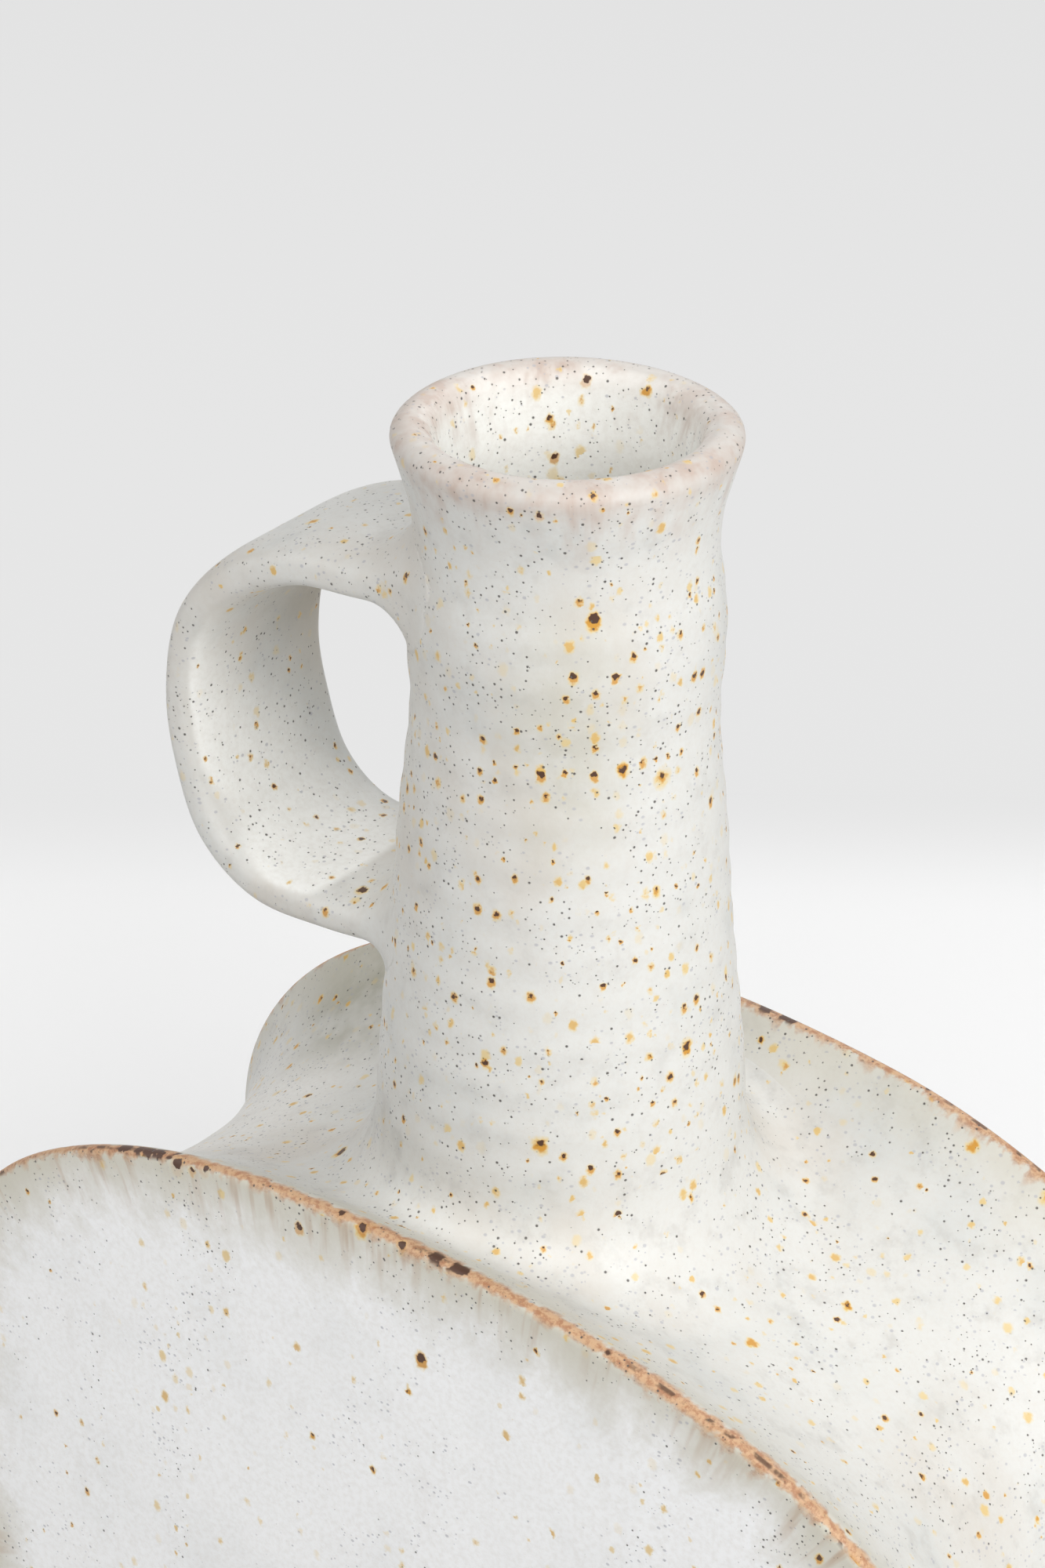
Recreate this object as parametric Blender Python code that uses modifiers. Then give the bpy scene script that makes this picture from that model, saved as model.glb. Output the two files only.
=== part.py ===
"""Handled vase in white stoneware, in metres, +Z up.

The origin is the centre of the face that it stands on. The front looks along -Y and the handle
lies towards -X. Two oval face slabs carry a concave band between them. A thrown neck stands on
the band, a pulled strap handle joins the neck at two heights, and coils of clay fill the joints.
"""
import math

import bmesh
import bpy
import numpy as np

# Body seen from the front: flattened above its widest line, rounder below it, and cut flat to stand
BODY_HALF_WIDTH = 0.120
TOP_RISE = 0.0775
LOWER_DROP = 0.121
OUTLINE_POWER = 2.3
FOOT_CUT = 0.009

# Body seen from the side: two bowed slabs and the channel between their ridges
HALF_DEPTH = 0.0515
FACE_BOW = 0.0046
SLAB_THICKNESS = 0.006
RIDGE_EDGE = 0.0026
RIDGE_ROUND = 0.0011
CHANNEL_DEPTH = 0.017
CHANNEL_POWER = 2.3
CHANNEL_RUN_OUT = 0.060
BAND_WALL = 0.0065

# Coils pressed into the two inner corners of the body
SEAM_COIL_WIDTH = 0.006
SEAM_COIL_LEG = 0.010

# Neck: radii, and how far below the rim each one lies
NECK_OFFSET = -0.0033
NECK_RISE = 0.137
NECK_WALL = 0.006
RIM_RADIUS = 0.030
COLLAR_RADIUS = 0.0263
COLLAR_DROP = 0.021
SWELL_RADIUS = 0.0274
SWELL_DROP = 0.0345
WAIST_RADIUS = 0.0268
WAIST_DROP = 0.0515
SHOULDER_RADIUS = 0.0331
SHOULDER_DROP = 0.123
FOOT_RADIUS = 0.0355

# Coil that fills the joint between the neck and the band
NECK_COIL_RISE = 0.018
NECK_COIL_TO_FACE = 0.003
NECK_COIL_LIP = 0.001
# How far the coil's slope sags, as a share of the coil's width
NECK_COIL_HOLLOW_SHARE = 0.3

# Handle: a strap that leaves the neck, turns in a loop and comes back to it
HANDLE_WIDTH = 0.039
HANDLE_THICKNESS = 0.0090
HANDLE_REACH = 0.0732
HANDLE_TOP_DROP = 0.0318
HANDLE_BOTTOM_DROP = 0.1023
HANDLE_EDGE_POWER = 4.0

# The loop's curve: how much of its reach, and how much of its drop, each point has gone
HANDLE_CURVE_SHARES = [
    (0.43, 0.01),
    (0.63, 0.04),
    (0.82, 0.14),
    (0.96, 0.30),
    (1.00, 0.51),
    (0.98, 0.70),
    (0.91, 0.89),
    (0.76, 1.00),
    (0.55, 1.00),
]
HANDLE_END_SHARE = 0.96

# Collars of clay that fill the joints between the handle and the neck
HANDLE_COIL_LENGTH = 0.007
HANDLE_COIL_FLARE = 0.003
HANDLE_COIL_LIP = 0.001

# Clearance between pieces that touch
JOINT_GAP = 0.0003

# Fineness of the surfaces
ARCH_STEPS = 58
FOOT_STEPS = 8
BAND_STEPS = 10
SLAB_RING_SHARES = (0.15, 0.5, 0.8)
NECK_STEPS = 48
NECK_CURVE_STEPS = 2
LIP_STEPS = 6
NECK_COIL_STEPS = 5
HANDLE_STEPS = 32
HANDLE_CURVE_STEPS = 6
HANDLE_COIL_STEPS = 4
STRAP_POINTS = 14
SHARP_ANGLE = math.radians(35.0)
MERGE_DISTANCE = 0.00001

# Heights and places that follow from the sizes
BODY_CENTRE = LOWER_DROP - FOOT_CUT
RIDGE_TOP = BODY_CENTRE + TOP_RISE
RIM_HEIGHT = RIDGE_TOP + NECK_RISE
CHANNEL_FLOOR = RIDGE_TOP - CHANNEL_DEPTH
TRIM_BASE = CHANNEL_FLOOR - CHANNEL_DEPTH / 2.0
HANDLE_START = COLLAR_RADIUS / 3.0

GLAZE_WHITE = (0.79, 0.78, 0.75)
GLAZE_COOL = (0.77, 0.78, 0.79)
GLAZE_CREAM = (0.81, 0.79, 0.73)
RAW_CLAY = (0.52, 0.44, 0.36)
SATIN = 0.55
SMOOTH_SATIN = 0.5
UNGLAZED = 0.9


def clear_scene():
    for old in list(bpy.data.objects):
        bpy.data.objects.remove(old, do_unlink=True)


def new_collection(name):
    collection = bpy.data.collections.new(name)
    bpy.context.scene.collection.children.link(collection)
    return collection


def clay_material(name, colour, roughness):
    material = bpy.data.materials.new(name)
    material.use_nodes = True
    shader = material.node_tree.nodes["Principled BSDF"]
    shader.inputs["Base Color"].default_value = (*colour, 1.0)
    shader.inputs["Roughness"].default_value = roughness
    shader.inputs["Metallic"].default_value = 0.0
    return material


def smooth_step(value):
    """Rise smoothly from 0 to 1 while the value goes from 0 to 1."""
    held = np.clip(value, 0.0, 1.0)
    return held * held * (3.0 - 2.0 * held)


def smooth_curve(points, steps):
    """Read a smooth curve through the points, as many steps from each one to the next."""
    points = np.array(points, dtype=float)
    before = 2.0 * points[0] - points[1]
    after = 2.0 * points[-1] - points[-2]
    padded = np.vstack([before, points, after])
    curve = [points[0]]
    for a, b, c, d in zip(padded, padded[1:], padded[2:], padded[3:]):
        for step in range(1, steps + 1):
            t = step / steps
            bend = 2.0 * a - 5.0 * b + 4.0 * c - d
            twist = 3.0 * b - a - 3.0 * c + d
            curve.append(0.5 * (2.0 * b + (c - a) * t + bend * t ** 2 + twist * t ** 3))
    return np.array(curve)


def outline():
    """Points round the body's edge and their outward directions, in the XZ plane.

    They run from the foot's right corner over the top to its left corner, and back along the foot.
    """
    low_share = BODY_CENTRE / LOWER_DROP
    low_angle = math.asin(low_share ** (OUTLINE_POWER / 2.0))
    angle = np.linspace(-low_angle, math.pi + low_angle, ARCH_STEPS + 1)
    share_x = np.sign(np.cos(angle)) * np.abs(np.cos(angle)) ** (2.0 / OUTLINE_POWER)
    share_z = np.sign(np.sin(angle)) * np.abs(np.sin(angle)) ** (2.0 / OUTLINE_POWER)
    half_height = np.where(share_z > 0.0, TOP_RISE, LOWER_DROP)
    arch = np.stack([BODY_HALF_WIDTH * share_x, BODY_CENTRE + half_height * share_z], axis=1)
    slope = OUTLINE_POWER - 1.0
    out_x = np.sign(share_x) * np.abs(share_x) ** slope / BODY_HALF_WIDTH
    out_z = np.sign(share_z) * np.abs(share_z) ** slope / half_height
    out = np.stack([out_x, out_z], axis=1)
    out /= np.linalg.norm(out, axis=1, keepdims=True)
    down = np.array([0.0, -1.0])
    for corner in (0, -1):
        out[corner] = (out[corner] + down) / np.linalg.norm(out[corner] + down)
    arch[[0, -1], 1] = 0.0
    foot = np.linspace(arch[-1], arch[0], FOOT_STEPS + 1)[1:-1]
    foot_out = np.tile(down, (len(foot), 1))
    return np.vstack([arch, foot]), np.vstack([out, foot_out])


EDGE, EDGE_OUT = outline()


def half_depth(x):
    """Distance from the middle plane to a slab's outer face."""
    return HALF_DEPTH - FACE_BOW * (x / BODY_HALF_WIDTH) ** 2


def channel_inset(from_face):
    """Depth of the channel below the edge, at a distance inwards from the outer faces."""
    local_depth = CHANNEL_DEPTH * smooth_step(EDGE[:, 1] / CHANNEL_RUN_OUT)
    outer = half_depth(EDGE[:, 0])
    share = np.clip((outer - from_face) / (outer - RIDGE_EDGE), 0.0, 1.0)
    return local_depth * (1.0 - share ** CHANNEL_POWER)


def ring(inset, from_face, side, share=1.0):
    """A ring round the body: the edge moved in, then drawn towards the body's centre."""
    flat = EDGE - EDGE_OUT * np.reshape(inset, (-1, 1))
    centre = np.array([0.0, BODY_CENTRE])
    flat = centre + share * (flat - centre)
    depth = half_depth(flat[:, 0]) - from_face
    return np.stack([flat[:, 0], side * depth, flat[:, 1]], axis=1)


def skin_mesh(name, rings, looped=False):
    """Join each ring of points to the next, and close the ends unless the rings form a loop."""
    count = len(rings[0])
    points = np.vstack(rings)
    pairs = [(i, i + 1) for i in range(len(rings) - 1)]
    if looped:
        pairs.append((len(rings) - 1, 0))
    faces = []
    for first, second in pairs:
        for i in range(count):
            j = (i + 1) % count
            faces.append((first * count + i, first * count + j, second * count + j, second * count + i))
    if not looped:
        faces.append(tuple(range(count)))
        faces.append(tuple((len(rings) - 1) * count + i for i in range(count)))
    mesh = bpy.data.meshes.new(name)
    mesh.from_pydata(points.tolist(), [], faces)
    work = bmesh.new()
    work.from_mesh(mesh)
    bmesh.ops.recalc_face_normals(work, faces=work.faces)
    work.to_mesh(mesh)
    work.free()
    return mesh


def add_piece(name, mesh, material):
    piece = bpy.data.objects.new(name, mesh)
    mesh.materials.append(material)
    mesh.shade_smooth()
    mesh.set_sharp_from_angle(angle=SHARP_ANGLE)
    PIECES.objects.link(piece)
    piece.parent = ROOT
    return piece


def file_as_cutter(cutter):
    """Keep a cutter out of the finished part, in the cutters' own collection."""
    cutter.hide_render = True
    cutter.display_type = 'WIRE'
    for holder in list(cutter.users_collection):
        holder.objects.unlink(cutter)
    CUTTERS.objects.link(cutter)
    return cutter


def cut(piece, cutter):
    boolean = piece.modifiers.new("cut by " + cutter.name, 'BOOLEAN')
    boolean.operation = 'DIFFERENCE'
    boolean.solver = 'EXACT'
    boolean.object = cutter


def face_slab(name, side, material):
    """An oval slab, thinned on its channel side to the ridge's edge."""
    corner = RIDGE_ROUND * (1.0 - math.sqrt(0.5))
    halfway = (RIDGE_EDGE + SLAB_THICKNESS) / 2.0
    rings = [ring(0.0, 0.0, side, share) for share in SLAB_RING_SHARES]
    rings.append(ring(RIDGE_ROUND, 0.0, side))
    rings.append(ring(corner, corner, side))
    rings.append(ring(0.0, RIDGE_ROUND, side))
    for from_face in (RIDGE_EDGE, halfway, SLAB_THICKNESS):
        rings.append(ring(channel_inset(from_face), from_face, side))
    for share in reversed(SLAB_RING_SHARES):
        rings.append(ring(channel_inset(SLAB_THICKNESS), SLAB_THICKNESS, side, share))
    return add_piece(name, skin_mesh(name, rings), material)


def band_rings(inset, flat_ends):
    """Rings across the band from the front slab to the back one, with the channel's hollow."""
    rings = []
    for across in np.linspace(-1.0, 1.0, BAND_STEPS + 1):
        outer = half_depth(EDGE[:, 0])
        reach = outer - SLAB_THICKNESS - flat_ends
        depth = outer - abs(across) * reach
        flat = EDGE - EDGE_OUT * np.reshape(channel_inset(depth) + inset, (-1, 1))
        y = across * (half_depth(flat[:, 0]) - SLAB_THICKNESS - flat_ends)
        rings.append(np.stack([flat[:, 0], y, flat[:, 1]], axis=1))
    return rings


def neck_hole():
    """A round cutter that opens the band under the neck's bore."""
    bpy.ops.mesh.primitive_cylinder_add(
        vertices=NECK_STEPS,
        radius=neck_radius(CHANNEL_FLOOR) - NECK_WALL,
        depth=2.0 * (CHANNEL_DEPTH + BAND_WALL),
        location=(NECK_OFFSET, 0.0, CHANNEL_FLOOR),
    )
    hole = bpy.context.active_object
    hole.name = "neck_hole"
    return file_as_cutter(hole)


def channel_band(material):
    """The band is a closed loop whose section is the channel's curve with the wall under it."""
    outer = band_rings(0.0, JOINT_GAP)
    inner = band_rings(BAND_WALL, JOINT_GAP)
    mesh = skin_mesh("channel_band", outer + inner[::-1], looped=True)
    band = add_piece("channel_band", mesh, material)
    cut(band, neck_hole())
    return band


def body_envelope():
    """The body's whole outer shape with a clearance round it, which trims what stands on it."""
    rings = [ring(-JOINT_GAP, -JOINT_GAP, -1.0), ring(-JOINT_GAP, RIDGE_EDGE, -1.0)]
    rings += band_rings(-JOINT_GAP, JOINT_GAP)
    rings += [ring(-JOINT_GAP, RIDGE_EDGE, 1.0), ring(-JOINT_GAP, -JOINT_GAP, 1.0)]
    mesh = skin_mesh("body_envelope", rings)
    return file_as_cutter(bpy.data.objects.new("body_envelope", mesh))


def seam_coil(name, side, material):
    """A coil in the corner between a slab's inner face and the band's inner surface."""
    on_slab = SLAB_THICKNESS + JOINT_GAP
    on_band = on_slab + SEAM_COIL_WIDTH
    under_band = BAND_WALL + 2.0 * JOINT_GAP
    halfway = (on_slab + on_band) / 2.0
    leg = channel_inset(on_slab) + under_band + SEAM_COIL_LEG
    tip = channel_inset(on_band) + under_band
    rings = [
        ring(channel_inset(on_slab) + under_band, on_slab, side),
        ring(channel_inset(halfway) + under_band, halfway, side),
        ring(tip, on_band, side),
        ring((leg + tip) / 2.0 + SEAM_COIL_WIDTH / 4.0, halfway, side),
        ring(leg, on_slab, side),
    ]
    return add_piece(name, skin_mesh(name, rings, looped=True), material)


def neck_outer():
    """The neck's outer side from under the lip to the channel's floor, as radius and height."""
    lip = NECK_WALL / 2.0
    stations = [
        (RIM_RADIUS, RIM_HEIGHT - lip),
        ((RIM_RADIUS + COLLAR_RADIUS) / 2.0, RIM_HEIGHT - (lip + COLLAR_DROP) / 2.0),
        (COLLAR_RADIUS, RIM_HEIGHT - COLLAR_DROP),
        (SWELL_RADIUS, RIM_HEIGHT - SWELL_DROP),
        (WAIST_RADIUS, RIM_HEIGHT - WAIST_DROP),
        ((WAIST_RADIUS + SHOULDER_RADIUS) / 2.0, RIM_HEIGHT - (WAIST_DROP + SHOULDER_DROP) / 2.0),
        (SHOULDER_RADIUS, RIM_HEIGHT - SHOULDER_DROP),
        (FOOT_RADIUS, CHANNEL_FLOOR),
    ]
    return smooth_curve(stations, NECK_CURVE_STEPS)


def neck_radius(height):
    """The neck's outer radius at a height, which below the floor stays as it is there."""
    profile = neck_outer()[::-1]
    return np.interp(height, profile[:, 1], profile[:, 0])


def turned_piece(name, profile, material):
    """Turn a closed profile of radii and heights about the neck's axis."""
    points = [(radius, 0.0, height) for radius, height in profile]
    edges = [(i, (i + 1) % len(points)) for i in range(len(points))]
    mesh = bpy.data.meshes.new(name)
    mesh.from_pydata(points, edges, [])
    piece = add_piece(name, mesh, material)
    piece.location.x = NECK_OFFSET
    screw = piece.modifiers.new("turn", 'SCREW')
    screw.steps = NECK_STEPS
    screw.render_steps = NECK_STEPS
    screw.use_merge_vertices = True
    screw.merge_threshold = MERGE_DISTANCE
    screw.use_smooth_shade = True
    return piece


def neck(material, envelope):
    """A thrown tube: its profile runs down outside, across the foot, up inside and over the lip."""
    lip = NECK_WALL / 2.0
    outer = neck_outer()
    inner = (outer - np.array([NECK_WALL, 0.0]))[::-1]
    foot = [(outer[-1, 0], TRIM_BASE), (inner[0, 0], TRIM_BASE)]
    over = math.pi * (1.0 - np.arange(1, LIP_STEPS) / LIP_STEPS)
    crown = [
        (RIM_RADIUS - lip + lip * math.cos(a), RIM_HEIGHT - lip + lip * math.sin(a)) for a in over
    ]
    piece = turned_piece("neck", [*outer, *foot, *inner, *crown], material)
    cut(piece, envelope)
    return piece


def neck_envelope():
    """The neck's outer shape with a clearance round it, which trims the handle's ends."""
    angle = np.arange(NECK_STEPS) * 2.0 * math.pi / NECK_STEPS
    rings = []
    for radius, height in neck_outer() + np.array([JOINT_GAP, 0.0]):
        x = NECK_OFFSET + radius * np.cos(angle)
        rings.append(np.stack([x, radius * np.sin(angle), np.full(NECK_STEPS, height)], axis=1))
    mesh = skin_mesh("neck_envelope", rings)
    return file_as_cutter(bpy.data.objects.new("neck_envelope", mesh))


def neck_coil(material, envelope):
    """A ring of clay round the neck's foot, with a hollow slope down to the channel."""
    top = CHANNEL_FLOOR + NECK_COIL_RISE
    inner_heights = [TRIM_BASE] + [h for h in neck_outer()[::-1, 1] if h < top] + [top]
    inner = [(neck_radius(h) + JOINT_GAP, h) for h in inner_heights]
    start = np.array([inner[-1][0] + NECK_COIL_LIP, top])
    end = np.array([HALF_DEPTH - NECK_COIL_TO_FACE, TRIM_BASE])
    hollow = NECK_COIL_HOLLOW_SHARE * (end[0] - start[0])
    slope = []
    for t in np.linspace(0.0, 1.0, NECK_COIL_STEPS + 1):
        sag = hollow * math.sin(math.pi * t)
        slope.append(start + (end - start) * t - np.array([sag, 0.0]))
    piece = turned_piece("neck_foot_coil", [*slope, *inner], material)
    cut(piece, envelope)
    return piece


def handle_path():
    """The strap's centre line in the XZ plane, from inside the neck, round the loop and back."""
    top = RIM_HEIGHT - HANDLE_TOP_DROP
    drop = HANDLE_BOTTOM_DROP - HANDLE_TOP_DROP
    stations = [(NECK_OFFSET - HANDLE_START, top)]
    for reach_share, drop_share in HANDLE_CURVE_SHARES:
        stations.append((NECK_OFFSET - reach_share * HANDLE_REACH, top - drop_share * drop))
    stations.append((NECK_OFFSET - HANDLE_START, top - HANDLE_END_SHARE * drop))
    return smooth_curve(stations, HANDLE_CURVE_STEPS)


def handle_length():
    path = handle_path()
    return float(np.sum(np.linalg.norm(np.diff(path, axis=0), axis=1)))


def strap_rings(distances, extra):
    """Strap sections at distances along the centre line, each swollen by its extra size."""
    path = handle_path()
    travelled = np.concatenate([[0.0], np.cumsum(np.linalg.norm(np.diff(path, axis=0), axis=1))])
    slope = np.gradient(path, travelled, axis=0)
    slope /= np.linalg.norm(slope, axis=1, keepdims=True)
    angle = (np.arange(STRAP_POINTS) + 0.5) * 2.0 * math.pi / STRAP_POINTS
    power = 2.0 / HANDLE_EDGE_POWER
    across = np.sign(np.cos(angle)) * np.abs(np.cos(angle)) ** power
    through = np.sign(np.sin(angle)) * np.abs(np.sin(angle)) ** power
    rings = []
    for distance, swell in zip(distances, np.broadcast_to(extra, len(distances))):
        centre = [np.interp(distance, travelled, path[:, i]) for i in (0, 1)]
        along = [np.interp(distance, travelled, slope[:, i]) for i in (0, 1)]
        thick = (HANDLE_THICKNESS / 2.0 + swell) * through
        x = centre[0] - along[1] * thick
        z = centre[1] + along[0] * thick
        rings.append(np.stack([x, (HANDLE_WIDTH / 2.0 + swell) * across, z], axis=1))
    return rings


def handle(material, envelope):
    distances = np.linspace(0.0, handle_length(), HANDLE_STEPS + 1)
    piece = add_piece("handle", skin_mesh("handle", strap_rings(distances, 0.0)), material)
    cut(piece, envelope)
    return piece


def strap_envelope():
    """The strap with a clearance round it, which opens the collars that it passes through."""
    distances = np.linspace(0.0, handle_length(), HANDLE_STEPS + 1)
    mesh = skin_mesh("strap_envelope", strap_rings(distances, JOINT_GAP))
    return file_as_cutter(bpy.data.objects.new("strap_envelope", mesh))


def handle_coil(name, drop, from_top, material, neck_cutter, strap_cutter):
    """A collar of clay round one end of the strap, which flares out towards the neck."""
    root = neck_radius(RIM_HEIGHT - drop) - HANDLE_START
    outside = np.linspace(root, root + HANDLE_COIL_LENGTH, HANDLE_COIL_STEPS + 1)
    distances = np.concatenate([[root / 2.0], outside])
    share = 1.0 - (distances - root) / HANDLE_COIL_LENGTH
    extra = HANDLE_COIL_LIP + HANDLE_COIL_FLARE * np.minimum(share, 1.0) ** 2
    if not from_top:
        distances = handle_length() - distances
    piece = add_piece(name, skin_mesh(name, strap_rings(distances, extra)), material)
    cut(piece, strap_cutter)
    cut(piece, neck_cutter)
    return piece


clear_scene()
PIECES = new_collection("handled_vase")
CUTTERS = new_collection("cutters")
ROOT = bpy.data.objects.new("handled_vase", None)
PIECES.objects.link(ROOT)

face_glaze = clay_material("face_glaze", GLAZE_COOL, SATIN)
channel_glaze = clay_material("channel_glaze", GLAZE_CREAM, SATIN)
neck_glaze = clay_material("neck_glaze", GLAZE_WHITE, SMOOTH_SATIN)
handle_glaze = clay_material("handle_glaze", GLAZE_WHITE, SMOOTH_SATIN)
inner_clay = clay_material("inner_clay", RAW_CLAY, UNGLAZED)

body_cutter = body_envelope()
neck_cutter = neck_envelope()
strap_cutter = strap_envelope()

face_slab("front_slab", -1.0, face_glaze)
face_slab("back_slab", 1.0, face_glaze)
channel_band(channel_glaze)
seam_coil("front_seam_coil", -1.0, inner_clay)
seam_coil("back_seam_coil", 1.0, inner_clay)
neck(neck_glaze, body_cutter)
neck_coil(channel_glaze, body_cutter)
handle(handle_glaze, neck_cutter)
handle_coil("upper_handle_coil", HANDLE_TOP_DROP, True, handle_glaze, neck_cutter, strap_cutter)
handle_coil("lower_handle_coil", HANDLE_BOTTOM_DROP, False, handle_glaze, neck_cutter, strap_cutter)
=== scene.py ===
"""The looks of a handled stoneware vase: its glazed surfaces, and the light that it stands in."""
import math

import bpy
import numpy as np
from mathutils import Matrix, Vector


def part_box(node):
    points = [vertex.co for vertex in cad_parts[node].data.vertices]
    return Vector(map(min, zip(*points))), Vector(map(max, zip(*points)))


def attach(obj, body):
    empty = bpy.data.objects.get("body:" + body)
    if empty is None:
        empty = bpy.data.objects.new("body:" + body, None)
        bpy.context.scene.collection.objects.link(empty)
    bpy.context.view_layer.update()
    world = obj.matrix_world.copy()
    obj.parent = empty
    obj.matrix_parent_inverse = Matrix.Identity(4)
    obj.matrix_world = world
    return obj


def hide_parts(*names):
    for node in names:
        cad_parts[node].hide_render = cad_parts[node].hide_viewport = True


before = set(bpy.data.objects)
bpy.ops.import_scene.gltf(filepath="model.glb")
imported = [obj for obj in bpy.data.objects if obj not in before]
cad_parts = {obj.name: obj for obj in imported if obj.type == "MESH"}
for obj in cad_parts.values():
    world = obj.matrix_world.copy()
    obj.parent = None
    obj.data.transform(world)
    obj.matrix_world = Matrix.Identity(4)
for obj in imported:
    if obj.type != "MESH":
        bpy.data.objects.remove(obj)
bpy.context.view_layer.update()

# The two face slabs. Each is an oval rolled from a slab of speckled stoneware, bowed a little
# outwards, and thinned at its edge to a ridge. The glaze runs thin over the ridge and breaks
# there to tan and dark brown, and pools to a cool white on the face.
slab_low, slab_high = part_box("front_slab")
ridge_top = slab_high.z
half_width = slab_high.x
half_depth = -slab_low.y
top_rise = 0.0775
rim_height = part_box("neck")[1].z
lower_drop = 0.121
body_centre = ridge_top - top_rise
outline_power = 2.3
foot_corner_round = 0.0022
turn_smoothing = 0.009
face_bow = 0.0046
slab_thickness = 0.006
ridge_edge = 0.0026
ridge_middle = ridge_edge / 2.0
channel_depth = 0.017
channel_power = 2.3
channel_run_out = 0.060
arch_count = 6001
around_count = 640


def smooth_step(value):
    """Rise from 0 to 1 while the value goes from 0 to 1: 3v^2 - 2v^3, held at both ends."""
    held = np.clip(value, 0.0, 1.0)
    return held * held * (3.0 - 2.0 * held)


def signed_power(value, power):
    """The value's size raised to a power, with its sign kept."""
    return np.sign(value) * np.abs(value) ** power


def unit(vectors):
    return vectors / np.linalg.norm(vectors, axis=1, keepdims=True)


def distance_along(line):
    """The distance travelled along a line of points, from 0 at the first one."""
    return np.concatenate([[0.0], np.cumsum(np.linalg.norm(np.diff(line, axis=0), axis=1))])


def even_points(loop, count):
    """Points at even steps along a closed loop in a plane, and the loop's length."""
    travelled = distance_along(loop)
    even = np.linspace(0.0, travelled[-1], count, endpoint=False)
    return np.stack([np.interp(even, travelled, loop[:, i]) for i in (0, 1)], axis=1), travelled[-1]


def round_off(loop, spacing, width):
    """A bell-shaped average along a closed loop: each wave of it shrinks by exp(-2 (pi f w)^2)."""
    frequency = np.fft.fftfreq(len(loop), d=spacing)
    keep = np.exp(-2.0 * (np.pi * frequency * width) ** 2)
    return np.real(np.fft.ifft(np.fft.fft(loop, axis=0) * keep[:, None], axis=0))


def body_outline(count):
    """Evenly spaced points round the body and their outward directions, in the XZ plane.

    The arch is the superellipse |x/a|^n + |z/b|^n = 1, whose b is larger below the widest line.
    A straight foot closes it at z = 0. The loop starts in the middle of the foot and goes up the
    right side. Its corners and its outward directions are rounded off.
    """
    low_angle = math.asin((body_centre / lower_drop) ** (outline_power / 2.0))
    angle = np.linspace(-low_angle, np.pi + low_angle, arch_count)
    across = signed_power(np.cos(angle), 2.0 / outline_power)
    up = signed_power(np.sin(angle), 2.0 / outline_power)
    rise = np.where(up > 0.0, top_rise, lower_drop)
    arch = np.stack([half_width * across, body_centre + rise * up], axis=1)
    middle = np.zeros((1, 2))
    points, length = even_points(np.vstack([middle, arch, middle]), count)
    points = round_off(points, length / count, foot_corner_round)
    tangent = np.roll(points, -1, axis=0) - np.roll(points, 1, axis=0)
    outward = np.stack([tangent[:, 1], -tangent[:, 0]], axis=1)
    return points, unit(round_off(outward, length / count, turn_smoothing)), length


edge, edge_out, edge_length = body_outline(around_count)


def face_distance(x):
    """Distance of a face from the middle plane: D - bow (x/a)^2."""
    return half_depth - face_bow * (x / half_width) ** 2


def hollow_share(from_face, outer):
    """The hollow's share of its full depth: 1 - s^p, where s is 0 midway and 1 at the ridge."""
    return 1.0 - np.clip((outer - from_face) / (outer - ridge_edge), 0.0, 1.0) ** channel_power


def channel_inset(from_face):
    """Depth of the hollow under the edge. It runs out towards the foot."""
    local_depth = channel_depth * smooth_step(edge[:, 1] / channel_run_out)
    return local_depth * hollow_share(from_face, face_distance(edge[:, 0]))


def edge_ring(inset, from_face, side, share=1.0):
    """A ring round the body: the edge moved in by the inset, then drawn to the middle by a share."""
    flat = edge - edge_out * np.reshape(inset, (-1, 1))
    centre = np.array([0.0, body_centre])
    flat = centre + share * (flat - centre)
    depth = face_distance(flat[:, 0]) - from_face
    return np.stack([flat[:, 0], side * depth, flat[:, 1]], axis=1)


wave_count = 14
wave_random = np.random.default_rng(41)
wave_lengths = np.geomspace(0.020, 0.130, wave_count)
wave_turns = unit(wave_random.normal(size=(wave_count, 3)))
wave_moves = unit(wave_random.normal(size=(wave_count, 3)))
wave_starts = wave_random.uniform(0.0, 2.0 * np.pi, wave_count)
shortest_wave_height = 0.000045
wave_heights = shortest_wave_height * (wave_lengths / wave_lengths[0]) ** 0.55
back_lean = 0.013
lean_start = 0.03
lean_full = 0.12
lean_end = 0.02


def hand_wobble(points):
    """The unevenness of work by hand: each point moves by a sum of slow sine waves in space.

    The back slab was also set a little askew: behind the middle plane z grows by k x (y / D),
    from nothing at the foot, and less again above the ridges.
    """
    phase = points @ (2.0 * np.pi * wave_turns / wave_lengths[:, None]).T + wave_starts
    moved = points + np.sin(phase) @ (wave_moves * wave_heights[:, None])
    x, y, z = points.T
    by_height = smooth_step((z - lean_start) / (lean_full - lean_start))
    by_height = by_height * (1.0 - smooth_step((z - ridge_top) / lean_end))
    moved[:, 2] += back_lean * x * np.clip(y / half_depth, 0.0, 1.0) * by_height
    return moved


def add_object(name, data):
    """Put a mesh, a light or a camera into the scene."""
    thing = bpy.data.objects.new(name, data)
    bpy.context.scene.collection.objects.link(thing)
    return thing


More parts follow.
